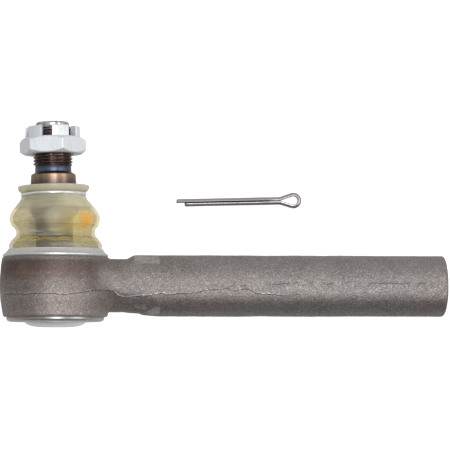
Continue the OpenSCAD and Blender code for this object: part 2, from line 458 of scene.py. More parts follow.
def forged(name, painted_fold_shade=False):
    q = Paint(name)
    broad = q.noise(14, 3, 0.55)
    mid = q.noise(3.2, 3, 0.6)
    fine = q.noise(0.8, 3, 0.75)
    col = q.ramp(broad, [(0.3, rgb(113, 109, 107)), (0.5, rgb(121, 116, 114)), (0.7, rgb(127, 122, 119))])
    # the head is browner than the shank, most of all below its top face
    head = q.step(q.x, 46, 34)
    col = q.mix(q.math("MULTIPLY", head, 0.7), col, rgb(127, 116, 112))
    high = q.math("MULTIPLY", q.step(q.x, 29, 20), q.step(q.y, 16.2, 13.6))
    top = q.math("MULTIPLY", q.math("MULTIPLY", high, q.step(q.math("ADD", q.y, q.math("MULTIPLY", q.math("SUBTRACT", mid, 0.5), 6.0)), -1.0, 9.0)), q.step(broad, 0.2, 0.55, 0.7, 1.0))
    col = q.mix(q.math("MULTIPLY", top, 0.85), col, rgb(82, 64, 58))
    col = q.mix(q.math("MULTIPLY", q.near((-17, 7, 29), 1, 9, wobble=3), 0.3), col, rgb(132, 108, 84))
    # a mauve stretch, an olive one and a rusty one along the shank
    col = q.mix(q.math("MULTIPLY", q.near((80, -4, 18), 10, 34, (0.6, 1.6, 1), 6), 0.45), col, rgb(127, 117, 115))
    col = q.mix(q.math("MULTIPLY", q.near((70, 10, 15), 3, 14, (0.6, 1.4, 1), 4), 0.4), col, rgb(98, 98, 90))
    col = q.mix(q.math("MULTIPLY", q.near((230, -8, 17), 3, 16, (0.8, 1, 1), 4), 0.35), col, rgb(116, 98, 95))
    # a painted highlight: a pale streak on the fillet where the neck meets the head
    col = q.mix(q.math("MULTIPLY", q.near((33, 6, 20), 2, 10, (1.2, 0.6, 1), 3), 0.6), col, rgb(134, 131, 126))
    col = q.mix(q.step(mid, 0.4, 0.75, 0.0, 0.22), col, rgb(84, 79, 78))
    light = q.step(fine, 0.53, 0.68, 0.0, 0.5)
    dark = q.step(fine, 0.48, 0.33, 0.0, 0.6)
    calm = q.math("SUBTRACT", 1.0, q.math("MULTIPLY", top, 0.65))
    col = q.mix(q.math("MULTIPLY", light, calm), col, rgb(196, 190, 187))
    col = q.mix(q.math("MULTIPLY", dark, calm), col, rgb(58, 53, 52))
    # painted shadow under the fold's overhang, with oxide in the fold: a darkened copy of the skin
    if painted_fold_shade:
        col = q.mix(0.8, col, rgb(30, 23, 22))
    # painted light and shade: bands of brightness by height on the shank and the head, for how the light falls across
    # them
    light_band_ramp = lambda pts: q.ramp(q.step2(q.y, -20, 20), [((h + 20) / 40, (k / 1.5, k / 1.5, k / 1.5, 1)) for h, k in pts], ease=False)
    shank_light_bands = light_band_ramp([(-18, 1.0), (-12, 0.96), (-10.2, 1.02), (-8, 1.26), (-5.6, 1.33), (-3.1, 1.2), (-0.7, 0.95), (2.0, 1.0), (6.5, 1.13), (11.3, 1.2), (17, 1.17)])
    head_light_bands = light_band_ramp([(-18, 1.28), (-16, 1.2), (-14, 1.12), (-8, 1.12), (-5.3, 1.15), (-2.6, 0.95), (1, 0.9), (4, 0.9), (7, 1.0), (9.5, 0.94), (12.5, 0.86), (16, 0.9)])
    painted_light_bands = q.mix(head, shank_light_bands, head_light_bands)
    up = q.t.nodes.new("ShaderNodeVectorMath")
    up.operation = "SCALE"
    q.put(up.inputs[0], painted_light_bands)
    up.inputs["Scale"].default_value = 1.5
    col = q.mix(1.0, col, up.outputs[0], "MULTIPLY")
    n = q.bump(fine, 0.22)
    n = q.bump(mid, 0.08, n)
    rough = q.step(q.noise(2.0, 2), 0.3, 0.7, 0.42, 0.58)
    return q.done(q.shader(Base_Color=col, Metallic=0.68, Roughness=rough, Normal=n))


def wear_and_glint_paint(name):
    q = Paint(name)
    f = q.noise(0.9, 3, 0.6, (0.35, 1, 1))
    col = q.ramp(f, [(0.3, rgb(132, 127, 122)), (0.6, rgb(166, 160, 154))])
    col = q.mix(q.step(q.noise(2.6, 3, 0.6), 0.55, 0.7, 0, 0.6), col, rgb(96, 91, 88))
    return q.done(q.shader(Base_Color=col, Metallic=0.7, Roughness=0.4, Normal=q.bump(f, 0.04)))


def turned(name, colour, rough=0.3, about="x", metal=1.0):
    """A machined face: fine rings left by the tool."""
    q = Paint(name)
    if about == "x":
        r = q.math("SQRT", q.math("ADD", q.math("MULTIPLY", q.y, q.y), q.math("MULTIPLY", q.z, q.z)))
    else:
        r = q.math("SQRT", q.math("ADD", q.math("MULTIPLY", q.x, q.x), q.math("MULTIPLY", q.z, q.z)))
    rings = q.math("SINE", q.math("MULTIPLY", r, 22.0))
    f = q.noise(1.6, 3, 0.6)
    col = q.mix(q.step(f, 0.3, 0.75, 0, 0.4), colour, tuple(v * 0.55 for v in colour[:3]) + (1,))
    return q.done(q.shader(Base_Color=col, Metallic=metal, Roughness=rough, Normal=q.bump(rings, 0.004)))


def stud_steel(name):
    q = Paint(name)
    d = q.t.nodes.new("ShaderNodeVectorMath")
    d.operation = "DOT_PRODUCT"
    q.put(d.inputs[0], q.p)
    d.inputs[1].default_value = SPIN_AXIS
    h = d.outputs["Value"]
    n1 = q.noise(3.0, 3, 0.6)
    h2 = q.math("ADD", h, q.math("MULTIPLY", q.math("SUBTRACT", n1, 0.5), 0.9))
    f = q.math("DIVIDE", q.math("SUBTRACT", h2, 40.0), 60.0)
    at = lambda z: (z - 40.0) / 60.0
    col = q.ramp(f, [
        (0.0, rgb(58, 54, 56)), (at(44), rgb(84, 74, 70)), (at(60), rgb(100, 90, 86)), (at(63), rgb(120, 104, 95)),
        (at(66.6), rgb(166, 140, 117)), (at(67.5), rgb(116, 84, 64)), (at(68.6), rgb(84, 80, 84)), (at(70.4), rgb(98, 108, 132)),
        (at(72.4), rgb(68, 72, 90)), (at(73.6), rgb(102, 88, 82)), (at(79), rgb(136, 121, 113)), (at(88), rgb(104, 92, 90)),
        (at(95.5), rgb(130, 120, 120)), (at(96.6), rgb(190, 187, 189)), (at(99), rgb(206, 203, 205))], ease=False)
    ring = q.noise(0.5, 2, 0.5, (0.02, 6.0, 0.02))
    around = q.noise(2.2, 3, 0.6, (1, 0.18, 1))
    col = q.mix(q.step(around, 0.35, 0.7, 0, 0.35), col, rgb(60, 44, 38))
    col = q.mix(q.math("MULTIPLY", q.step(around, 0.5, 0.66, 0, 0.6), q.step(h, 96.0, 97.0)), col, rgb(140, 112, 104))
    return q.done(q.shader(Base_Color=col, Metallic=1.0, Roughness=q.step(around, 0.3, 0.7, 0.33, 0.40),
                           Normal=q.bump(ring, 0.003)))


def zinc(name, colour, rough=0.34, metal=0.8, grain=0.02, streak=0.0):
    q = Paint(name)
    f = q.noise(1.1, 3, 0.6)
    if streak:
        up = q.noise(0.9, 2, 0.6, (1, 0.07, 1))
        f = q.math("ADD", q.math("MULTIPLY", f, 1 - streak), q.math("MULTIPLY", up, streak))
    g = q.noise(6.0, 3, 0.6)
    col = q.mix(q.step(f, 0.4, 0.75, 0, 0.35), colour, tuple(v * 0.72 for v in colour[:3]) + (1,))
    col = q.mix(q.step(g, 0.45, 0.75, 0, 0.3), col, tuple(v * 0.8 for v in colour[:3]) + (1,))
    return q.done(q.shader(Base_Color=col, Metallic=metal, Roughness=q.step(f, 0.3, 0.7, rough - 0.06, rough + 0.08),
                           Normal=q.bump(q.noise(0.5, 2, 0.6), grain)))


def pin_steel(name):
    """Bright wire, with painted shade where its two flat sides meet."""
    q = Paint(name)
    f = q.noise(1.1, 3, 0.6)
    col = q.mix(q.step(f, 0.4, 0.75, 0, 0.35), rgb(172, 168, 168), rgb(128, 124, 124))
    ca, sa = math.cos(PIN_TURN), math.sin(PIN_TURN)
    off = q.math("SUBTRACT", q.math("MULTIPLY", q.math("SUBTRACT", q.y, PIN_AT[1]), ca), q.math("MULTIPLY", q.math("SUBTRACT", q.x, PIN_AT[0]), sa))
    groove_shade = q.math("MULTIPLY", q.step(q.math("ABSOLUTE", off), 0.95, 0.4), q.step(q.x, PIN_AT[0] - 1, PIN_AT[0] - 12))
    # painted shade along the line where the two legs meet
    col = q.mix(q.math("MULTIPLY", groove_shade, 0.92), col, rgb(58, 55, 54))
    return q.done(q.shader(Base_Color=col, Metallic=0.95, Roughness=q.step(f, 0.3, 0.7, 0.28, 0.42),
                           Normal=q.bump(q.noise(0.5, 2, 0.6), 0.015)))


def plastic(name, colour, rough=0.45, grain=0.02):
    q = Paint(name)
    f = q.noise(2.0, 3, 0.6)
    col = q.mix(q.step(f, 0.3, 0.7, 0, 0.25), colour, tuple(v * 0.75 for v in colour[:3]) + (1,))
    return q.done(q.shader(Base_Color=col, Roughness=rough, Normal=q.bump(q.noise(0.7, 2), grain)))


def boot_rubber(name):
    """Cloudy, honey-coloured polyurethane with grease lying against its inside, with painted highlights and painted
    shade on its front.
    """
    q = Paint(name)
    broad = q.noise(11, 3, 0.5)
    mid = q.noise(3.5, 3, 0.6, (0.5, 1.3, 0.5))
    col = q.ramp(broad, [(0.3, rgb(208, 206, 190)), (0.55, rgb(216, 212, 191)), (0.75, rgb(222, 214, 184))])
    # yellower in the lower folds and towards the left
    col = q.mix(q.math("MULTIPLY", q.step(q.x, 4, -26), 0.4), col, rgb(224, 208, 164))
    col = q.mix(q.step(q.y, 34, 27, 0, 0.5), col, rgb(150, 143, 120))
    col = q.mix(q.math("MULTIPLY", q.step(q.y, 45, 50), q.step(q.y, 57, 55.5)), col, rgb(186, 181, 156))
    # painted light and shade: pale patches are painted highlights on the front, dark ones painted shade, mostly where
    # the stud shows through
    lit_and_shaded_patches = [((-11, 33, 22), 3, 12, (1.2, 0.7, 0.3), 0.75, rgb(104, 95, 90)), ((-6, 27.0, 24), 3, 11, (0.7, 1.5, 0.3), 0.65, rgb(104, 101, 88)),
             ((5, 36.5, 24), 3, 10, (1, 1.3, 0.3), 0.55, rgb(240, 232, 206)), ((1, 40.4, 24), 2, 8, (0.6, 2.4, 0.3), 0.5, rgb(238, 229, 214)),
             ((14, 50, 16), 3, 12, (0.7, 1.0, 0.4), 0.6, rgb(242, 236, 204)), ((-20, 41, 14), 3, 13, (1, 0.7, 0.4), 0.55, rgb(230, 226, 208)),
             ((13, 31.5, 21), 2, 9, (0.7, 2.0, 0.3), 0.5, rgb(150, 142, 118))]
    lit_and_shaded_masks = [(q.math("MULTIPLY", q.near(at, a, b, st, 2.5), k), c2) for at, a, b, st, k, c2 in lit_and_shaded_patches]
    for k, c2 in lit_and_shaded_masks:
        col = q.mix(k, col, c2)
    wave = q.math("ADD", q.y, q.math("MULTIPLY", q.math("SUBTRACT", q.noise(7.0, 2, 0.6, (1, 0.05, 1)), 0.5), 5.0))
    line = q.math("MAXIMUM", q.step(q.math("ABSOLUTE", q.math("SUBTRACT", wave, 27.6)), 0.42, 0.12),
                  q.step(q.math("ABSOLUTE", q.math("SUBTRACT", wave, 26.5)), 0.35, 0.1))
    streak = q.math("MULTIPLY", line, q.step(q.noise(6.0, 2, 0.6, (1, 0.4, 1)), 0.36, 0.48))
    shade = q.math("MULTIPLY", q.step(q.math("ABSOLUTE", q.math("SUBTRACT", wave, 28.7)), 0.8, 0.2), 0.6)
    col = q.mix(shade, col, rgb(112, 102, 78))
    col = q.mix(q.math("MULTIPLY", streak, 0.9), col, rgb(212, 190, 62))
    smear = q.near((15, 37.0, 20), 4, 15, (0.6, 1.4, 1), 5)
    col = q.mix(q.math("MULTIPLY", smear, 0.75), col, rgb(226, 198, 98))
    blob = q.near((19.7, 39.2, 19.5), 1.5, 8.2, (1, 1, 0.7), 2.6)
    col = q.mix(q.math("MULTIPLY", blob, 0.9), col, rgb(244, 178, 70))
    col = q.mix(q.step(mid, 0.5, 0.8, 0, 0.25), col, rgb(166, 162, 142))
    rim = q.step(q.y, 56.2, 57.4)
    col = q.mix(q.math("MULTIPLY", rim, 0.6), col, rgb(196, 192, 172))
    seam = q.math("MULTIPLY", q.step(q.y, 35.9, 36.15), q.step(q.y, 36.6, 36.35))
    col = q.mix(q.math("MULTIPLY", seam, 0.45), col, rgb(140, 128, 96))
    # painted highlights and painted shade: pale and dark horizontal bands on the upper bulge
    fold = q.noise(2.6, 3, 0.6, (0.12, 1.0, 0.12))
    col = q.mix(q.math("MULTIPLY", q.step(fold, 0.52, 0.66, 0, 0.45), q.step(q.y, 44, 36)), col, rgb(236, 232, 222))
    col = q.mix(q.math("MULTIPLY", q.step(fold, 0.42, 0.32, 0, 0.35), q.step(q.y, 44, 36)), col, rgb(136, 128, 112))
    nrm = q.bump(mid, 0.10)
    body = q.shader(Base_Color=col, Roughness=0.34, Normal=nrm, Coat_Weight=0.25, Coat_Roughness=0.2)
    tr = q.t.nodes.new("ShaderNodeBsdfTranslucent")
    q.put(tr.inputs["Color"], col)
    m1 = q.t.nodes.new("ShaderNodeMixShader")
    m1.inputs[0].default_value = 0.3
    q.put(m1.inputs[1], body)
    q.put(m1.inputs[2], tr.outputs[0])
    clear = q.t.nodes.new("ShaderNodeBsdfTransparent")
    clear.inputs["Color"].default_value = rgb(248, 243, 226)
    m2 = q.t.nodes.new("ShaderNodeMixShader")
    dense = q.math("MAXIMUM", q.step(broad, 0.3, 0.7, 0.30, 0.42), q.math("MULTIPLY", rim, 0.8))
    dense = q.math("MAXIMUM", dense, q.step(q.y, 43, 49, 0.0, 0.66))
    dense = q.math("MAXIMUM", dense, q.math("MULTIPLY", q.math("MAXIMUM", blob, streak), 0.72))
    dense = q.math("ADD", dense, q.step(fold, 0.52, 0.66, 0, 0.10), True)
    dense = q.math("MAXIMUM", dense, q.math("MULTIPLY", smear, 0.5))
    for k, c2 in lit_and_shaded_masks[:2]:
        dense = q.math("MAXIMUM", dense, q.math("MULTIPLY", k, 0.75))
    q.put(m2.inputs[0], dense)
    q.put(m2.inputs[1], clear.outputs[0])
    q.put(m2.inputs[2], m1.outputs[0])
    return q.done(m2.outputs[0])


M_FORGED = forged("forged_skin")
M_FOLD_SHADOW_OXIDE = forged("forged_fold_shadow_oxide", True)
M_WEAR_AND_GLINT = wear_and_glint_paint("forged_flat_wear_and_crest_glint")
M_FACE = turned("machined_end_face", rgb(150, 144, 140), 0.36, "x")
M_BORE = turned("machined_thread", rgb(96, 92, 90), 0.3, "x")
M_LIP = turned("rolled_edge", rgb(176, 173, 173), 0.33, "y", 0.75)
M_STUD = stud_steel("stud_steel")
M_NUT = zinc("zinc_nut", rgb(210, 213, 217), 0.56, 0.4, 0.06, 0.7)
M_COVER = zinc("zinc_cover", rgb(218, 218, 224), 0.42, 0.5)
M_RING = turned("ring_steel", rgb(206, 206, 206), 0.42, "y", 0.75)
M_WIRE = turned("wire_steel", rgb(232, 232, 232), 0.34, "y", 0.6)
M_BOOT = boot_rubber("boot_polyurethane")
M_SLIP = plastic("slip_ring_plastic", rgb(84, 80, 78), 0.5)
M_RACE = plastic("bearing_acetal", rgb(222, 218, 204), 0.4)
M_SPRING = turned("spring_steel", rgb(120, 122, 128), 0.3, "y")
M_SEAL = plastic("seal_rubber", rgb(28, 28, 29), 0.6)
M_PIN = pin_steel("pin_steel")

# ------------------------------------------------------------------ housing
HT = HEAD_TOP
BARREL = [(-45, HT), (HEAD_R - 1.96, HT), (HEAD_R - 1.5, HT - 0.45), (HEAD_R - 0.86, 12.4), (HEAD_R - 0.35, 6.3),
          (HEAD_R, 0.4), (HEAD_R, -1.4), (HEAD_R - 0.56, -8.9), (HEAD_R - 1.36, -13.7), (HEAD_R - 2.1, -18.3),
          (HEAD_R - 2.5, -18.9), (HEAD_R - 3.1, -19.2), (-45, -19.2)]
CAVITY = [(-45, 30), (16.5 + 20.5 * 0.364, 30), (16.5, 9.5), (23.7, 9.5), (23.7, -17.05), (24.7, -17.05),
          (24.7, -25), (-45, -25)]
TOP_X, TOP_R = [0, 42.9, 44.2, 45.6, 47.0, 48.2, 49.5, 300], [NECK_R, NECK_R, 16.6, 17.5, 18.2, 18.5, 18.55, 18.5]
LOW_X = [0, 41, 45, 50.7, 52.5, 58, 63.5, 72.5, 90, 300]
LOW_R = [NECK_R, NECK_R + 0.1, 16.8, 17.2, 18.0, 18.5, 18.8, 18.95, 18.85, 18.8]
SIDE_X = [0, 34, 42, 50, 60, 72, 86, 300]
SIDE_R = [NECK_R, NECK_R + 0.1, 16.7, 17.5, 18.1, 18.5, SHANK_R, SHANK_R]
FLATS = [math.radians(a) for a in (57.5, -57.5, 180 - 57.5, 180 + 57.5)]


def flat_frame(y, z, a):
    """Distance out from the shank's axis, and along the flat."""
    return y * -math.cos(a) + z * -math.sin(a), y * -math.sin(a) + z * math.cos(a)


def housing_f(x, y, z):
    r = np.hypot(x, y)
    s = np.hypot(y, z)
    barrel = sd_polygon(r, z, BARREL)
    low = smooth(z, 5, -5)
    R = np.interp(x, TOP_X, TOP_R) * (1 - low) + np.interp(x, LOW_X, LOW_R) * low
    side = smooth(np.abs(y) / np.maximum(s, 1e-3), 0.5, 0.86)
    R = R * (1 - side) + np.interp(x, SIDE_X, SIDE_R) * side
    shank = np.maximum(np.maximum(s - R, x - SHANK_LEN), (s + x - (SHANK_R + SHANK_LEN - 1.0)) * 0.7071)
    # below the parting line the neck is drawn in to a slope
    slope = (np.abs(y) - z) * 0.7071 - np.interp(x, [26, 31, 35, 40, 44, 50, 56, 64], [20, 14.4, 14.5, 15.7, 16.4, 16.7, 17.6, 20])
    shank = round_max(shank, slope, 1.5)
    shank = np.maximum(shank, -x)
    for a in FLATS:
        out, along = flat_frame(y, z, a)
        cut = np.maximum(np.maximum(18.1 - out, np.abs(x - 55.5) - 7.9), np.abs(along) - 8)
        shank = np.maximum(shank, -cut)
    k = 0.6 + 7.0 * (1 - smooth(np.abs(z), 8.5, 15.5)) * (1 - 0.4 * smooth(z, -3, -7))
    f = fillet_union(barrel, shank, k)
    f = np.maximum(f, -19.2 - z)
    f = np.where(x < 38, np.maximum(f, z - HT), f)
    f = np.minimum(f, np.maximum(round_max(r - 25.6, z - (HT + 3.7), 0.5), 5 - z))
    f = np.maximum(f, -sd_polygon(r, z, CAVITY))
    bore = np.maximum(s - 15.0, SHANK_LEN - 92.0 - x)
    tip = np.maximum(s - np.clip((x - (SHANK_LEN - 102.0)) * 1.7, 0.05, 13.2), SHANK_LEN - 102.0 - x)
    return np.maximum(f, -np.minimum(bore, tip))


def forge_skin(p):
    """Unevenness of the forged skin, in millimetres outwards, nothing on machined faces."""
    x, y, z = p.T
    r, s = np.hypot(x, y), np.hypot(y, z)
    w = np.where((x > 130) & (s < 17.5), 0.0, 1.0) * smooth(SHANK_LEN - x, 0.3, 2.5)
    w = w * np.where((r < 30.2) & (x < 30) & ((z > HT - 0.6) | (r < 26.5)), 0.0, 1.0)
    w = w * np.where((r < 31) & (z < -18.8), 0.3, 1.0)
    d = 0.10 * fbm(p, 9.0, 2, 3) + 0.05 * noise3(p, 2.3, 11)
    # a smeared, slightly raised patch in the middle of the front
    blob = smooth(x, 114, 119) * smooth(x, 131, 127) * smooth(z, -4.5, -2) * smooth(z, 6, 3.5) * (y < 0)
    d = d + 0.16 * blob * (0.7 + 0.5 * noise3(p, 2.5, 21))
    return d * w


STEP = 0.72
v, f = surface_nets(housing_f, (-35.4, -35.4, -20.6), (SHANK_LEN + 1.2, 35.4, HT + 5.4), STEP)
g = gradient(housing_f, v)
g /= np.maximum(np.linalg.norm(g, axis=1, keepdims=True), 1e-6)
v = v + g * forge_skin(v)[:, None]
c = v[f].mean(1)
idx = np.zeros(len(f), int)
for a in FLATS:
    out, along = flat_frame(c[:, 1], c[:, 2], a)
    idx[(np.abs(out - 18.1) < 0.28) & (np.abs(along) < 4.7) & (np.abs(c[:, 0] - 55.5) < 7.7)] = 1
rag = 0.7 * noise3(c, 1.6, 41)
idx[(c[:, 0] > 47.4 + rag) & (c[:, 0] < 55) & (np.abs(c[:, 1]) > 9) & (c[:, 2] < -12.2 + rag) & (c[:, 2] > np.interp(c[:, 0], [48, 52, 54], [-13.8, -14.2, -15.6]) + rag)] = 1
idx[(c[:, 0] > SHANK_LEN - 1.05)] = 2
idx[(c[:, 0] > 130) & (np.hypot(c[:, 1], c[:, 2]) < 16)] = 2
idx[(np.hypot(c[:, 0], c[:, 1]) < 30.2) & (c[:, 0] < 28) & ((c[:, 2] > HT - 0.5) | (np.hypot(c[:, 0], c[:, 1]) < 25.5))] = 2
housing = make("housing_forging", to_row(v), f, "head", [M_FORGED, M_WEAR_AND_GLINT, M_FACE], sharp=38,
               mat_index=idx, replaces=("housing",))
fix_normals(housing)


def front_surface(x, h, side=-1):
    """Depth of the housing's outside at points (x, h), seen from the camera side (-1) or the back (+1)."""
    ys = np.arange(40.0, 2.0, -0.5)
    best = np.full(x.shape, 3.0)
    found = np.zeros(x.shape, bool)
    for yy in ys:
        val = housing_f(x, np.full(x.shape, side * yy), h)
        hit = (val < 0) & ~found
        best[hit] = yy
        found |= hit
    lo, hi = best.copy(), best + 0.5
    for _ in range(12):
        m = (lo + hi) / 2
        inside = housing_f(x, side * m, h) < 0
        lo, hi = np.where(inside, m, lo), np.where(inside, hi, m)
    return side * lo


def seam(name, path, side, seed, strength, gap=0.0, x_lo=None, x_hi=None):
    """The fold that the parting line of the dies left: a gentle rise that ends in a small overhang."""
    px, pz = np.array(path, float).T
    step = 0.22
    x = np.arange(x_lo or px[0], x_hi or px[-1], step)
    q = np.stack([x, np.zeros_like(x), np.full_like(x, seed * 7.7)], 1)
    h = np.interp(x, px, pz) + 0.35 * noise3(q, 2.8, seed) + 0.28 * noise3(q, 1.1, seed + 1)
    amp = np.interp(x, *np.array(strength, float).T) * (0.75 + 0.45 * noise3(q, 3.1, seed + 2))
    if gap:
        amp = amp * (1 - smooth(noise3(q, 5.0, seed + 3), gap, gap + 0.15))
    ends = smooth(x, x[0], x[0] + 1.5) * smooth(x, x[-1], x[-1] - 1.5)
    amp = np.clip(amp, 0.0, 2.0) * ends
    shape = [(0.95, -0.16), (0.7, 0.03), (0.4, 0.13), (0.14, 0.26), (0.0, 0.30), (-0.07, 0.24), (-0.06, 0.12),
             (-0.42, 0.09), (-0.5, -0.10), (-0.5, -0.5), (0.9, -0.5)]
    rows = []
    for dh, up in shape:
        hh = h + dh
        y = front_surface(x, hh, side)
        p = np.stack([x, y, hh], 1)
        n = gradient(housing_f, p)
        n /= np.maximum(np.linalg.norm(n, axis=1, keepdims=True), 1e-6)
        rise = np.where(up > 0, up * amp - 0.10 * (1 - np.clip(amp * 4, 0, 1)), up)
        rows.append(p + n * (forge_skin(p) + rise)[:, None])
    # painted highlight with wear: lighter patches along the crest of the fold
    crest_highlight_and_wear = (noise3(q, 2.0, seed + 5) > 0.3) & (amp > 0.35)
    m, k = len(x), len(shape)
    verts = np.stack(rows, 1).reshape(-1, 3)
    faces, mi = [], []
    for i in range(m - 1):
        for j in range(k):
            j2 = (j + 1) % k
            faces.append((i * k + j, i * k + j2, (i + 1) * k + j2, (i + 1) * k + j))
            # faces under the overhang take the painted shadow with oxide, crest faces the painted highlight with wear
            # where marked
            mi.append(1 if j in (5, 6, 7) else 2 if j in (2, 3) and crest_highlight_and_wear[i] else 0)
    faces.append(tuple(range(k)))
    faces.append(tuple(range((m - 1) * k, m * k))[::-1])
    mi += [0, 0]
    ob = make(name, to_row(verts), faces, "head", [M_FORGED, M_FOLD_SHADOW_OXIDE, M_WEAR_AND_GLINT], sharp=50, mat_index=mi)
    fix_normals(ob)
    return ob


LINE = [(-33, -5.9), (-20.2, -5.7), (-14.2, -5.5), (-8.2, -5.6), (-2.3, -5.4), (1.8, -6.0), (4.7, -6.3), (15.2, -5.1),
        (21.1, -3.8), (25.2, -3.1), (31, -3.0), (34.5, -3.3), (38.4, -6.4), (40.2, -7.2), (42.6, -7.6), (45.6, -7.4),
        (49.2, -6.9), (54.5, -6.2), (58.7, -5.6), (62.9, -5.2), (70.1, -5.4), (73.7, -5.0), (84.5, -4.4), (89.9, -3.3),
        (93.5, -3.0), (100.1, -2.5), (103.1, -2.4), (107.4, -3.6), (109.8, -3.0), (114.6, -2.2), (117.0, -3.1),
        (119.5, -4.1), (121.9, -4.9), (125.5, -5.3), (129.1, -5.7), (135.2, -6.1), (146, -6.5)]
POWER = [(-34, 0.3), (-20, 0.45), (-8, 0.7), (5, 0.75), (12, 0.45), (25, 0.6), (33, 0.7), (37, 1.3), (45, 1.2), (60, 0.9),
         (75, 0.9), (90, 0.9), (100, 1.1), (120, 1.2), (128, 0.7), (140, 0.3), (146, 0.1)]
seam("forging_fold_front", LINE, -1, 3, POWER, x_lo=-32.5)
seam("forging_fold_back", [(a, -b * 0.8 - 0.5) for a, b in LINE], 1, 9, POWER, x_lo=-32.5)
FAINT = [(107, -0.2), (118, -0.1), (130, 0.6), (145, 1.2), (200, 1.3), (234, 1.0)]
seam("parting_line_front", FAINT, -1, 15, [(107, 0.3), (118, 0.5), (130, 0.25), (180, 0.22), (206, 0.35), (234, 0.2)], gap=0.15)
seam("parting_line_back", [(a, 0.6 - b) for a, b in FAINT], 1, 19, [(107, 0.3), (150, 0.3), (234, 0.25)], gap=0.15)

# the rim rolled over the cover
lip = rounded([(29.2, -17.6), (29.2, -19.5, 0.05), (29.75, -19.62, 0.2), (29.6, -20.6, 0.5), (28.9, -21.5, 0.7), (27.6, -22.05, 1.0),
               (25.8, -22.25, 1.0), (22.5, -22.25, 0.8), (21.6, -21.4, 0.7), (21.6, -19.72, 0.2), (24.65, -19.7), (24.65, -17.6)], 0, 5)
v, f = lathe(lip, 160, closed=True)
ob = make("rolled_rim", to_row(v), f, "head", [M_LIP], sharp=45)
fix_normals(ob)


def thread_sleeve(name, r_in, depth, r_out, length, pitch, chamfer, n, step, where, body, mat):
    """A tube with a helical thread inside. Lies along +z from 0 to length, open at length."""
    z = np.arange(0, length + step / 2, step)
    th = np.arange(n) * 2 * math.pi / n
    zz, tt = np.meshgrid(z, th, indexing="ij")
    ph = ((zz / pitch - tt / (2 * math.pi)) % 1.0)
    tri = 1 - np.abs(ph * 2 - 1)
    r = r_in + depth * np.clip((tri - 0.12) / 0.76, 0, 1)
    r = np.maximum(r, r_in + chamfer - (length - zz))
    r[0], r[-1] = r_in + depth * 0.2, r_in + chamfer
    r = np.minimum(r, r_out - 0.25)
    inner = np.stack([r * np.cos(tt), r * np.sin(tt), zz], 2).reshape(-1, 3)
    outer = np.concatenate([np.stack([r_out * np.cos(th), r_out * np.sin(th), np.full(n, a)], 1) for a in (0, length)])
    verts = where(np.concatenate([inner, outer]))
    m = len(z)
    i, j = np.meshgrid(np.arange(m - 1), np.arange(n), indexing="ij")
    j2 = (j + 1) % n
    faces = np.stack([i * n + j, i * n + j2, (i + 1) * n + j2, (i + 1) * n + j], 2).reshape(-1, 4).tolist()
    o = m * n
    for k in range(n):
        k2 = (k + 1) % n
        faces += [(o + k, o + k2, k2, k), (o + n + k2, o + n + k, (m - 1) * n + k, (m - 1) * n + k2), (o + k2, o + k, o + n + k, o + n + k2)]
    ob = make(name, to_row(verts), faces, body, mat, sharp=40)
    fix_normals(ob)
    return ob


thread_sleeve("shank_thread", 13.2, 0.9, 15.15, 92.0 - 0.05, 1.5, 1.6, 144, 0.25,
              lambda p: np.stack([p[:, 2] + SHANK_LEN - 92.0, p[:, 0], p[:, 1]], 1), "head", M_BORE)

# ------------------------------------------------------------------ ball stud
ball_r, neck, tap = 18.46, 11.3, lambda z: 13.55 + (67.3 - z) * 0.0625
top_z = 99.55
prof = [(0, -16.0), (math.sqrt(ball_r ** 2 - 256) - 0.8, -16.0)]
a0, a1 = math.asin(-15.6 / ball_r), math.acos((neck + 0.3) / ball_r)
prof += [(ball_r * math.cos(a), ball_r * math.sin(a)) for a in np.linspace(a0, a1, 46)]
z1 = prof[-1][1]
prof += [tuple(p) for p in rounded([(neck + 0.3, z1), (neck, z1 + 0.7, 1.2), (neck, 38.8, 5.0), (neck + 0.5, 40.5, 3), (tap(44.5), 44.6, 1.2),
                                    (tap(46), 46.0)], 0, 6)]
prof += [(tap(z), z) for z in np.arange(47, 66.6, 1.0)]
prof += [tuple(p) for p in rounded([(tap(66.6), 66.6), (13.55, 67.35, 0.35), (11.05, 68.75, 0.9), (10.95, 72.0)], 0, 6)]
prof = np.array(prof)
n = 168
th = np.arange(n) * 2 * math.pi / n
zt = np.arange(72.2, 97.2, 0.2)
zt = np.concatenate([zt, [97.4, 98.0, 98.5]])
zz, tt = np.meshgrid(zt, th, indexing="ij")
tri = 1 - np.abs(((zz / 2.0 - tt / (2 * math.pi)) % 1.0) * 2 - 1)
rt = 10.85 + 1.15 * np.clip((tri - 0.1) / 0.72, 0, 1) * smooth(zz, 72.2, 73.6)
rt = np.minimum(rt, np.maximum(12.0 - np.clip(zz - 95.4, 0, 9) * 1.15, 10.2))
rows = [np.stack([np.full(n, r), th, np.full(n, z)], 1) for r, z in prof[1:]]
rows += [np.stack([rt[i], th, np.full(n, zt[i])], 1) for i in range(len(zt))]
for r, z in rounded([(10.2, 98.5), (10.1, 98.9, 0.4), (9.3, top_z, 0.6), (4.2, top_z), (3.2, top_z - 0.9, 0.3), (1.6, top_z - 1.7)], 0, 4)[1:]:
    rows.append(np.stack([np.full(n, r), th, np.full(n, z)], 1))
grid = np.stack(rows)
verts = np.stack([grid[..., 0] * np.cos(grid[..., 1]), grid[..., 0] * np.sin(grid[..., 1]), grid[..., 2]], 2).reshape(-1, 3)
m = len(rows)
i, j = np.meshgrid(np.arange(m - 1), np.arange(n), indexing="ij")
j2 = (j + 1) % n
faces = np.stack([i * n + j, i * n + j2, (i + 1) * n + j2, (i + 1) * n + j], 2).reshape(-1, 4).tolist()
verts = np.concatenate([verts, [[0, 0, -16.0], [0, 0, top_z - 1.9]]])
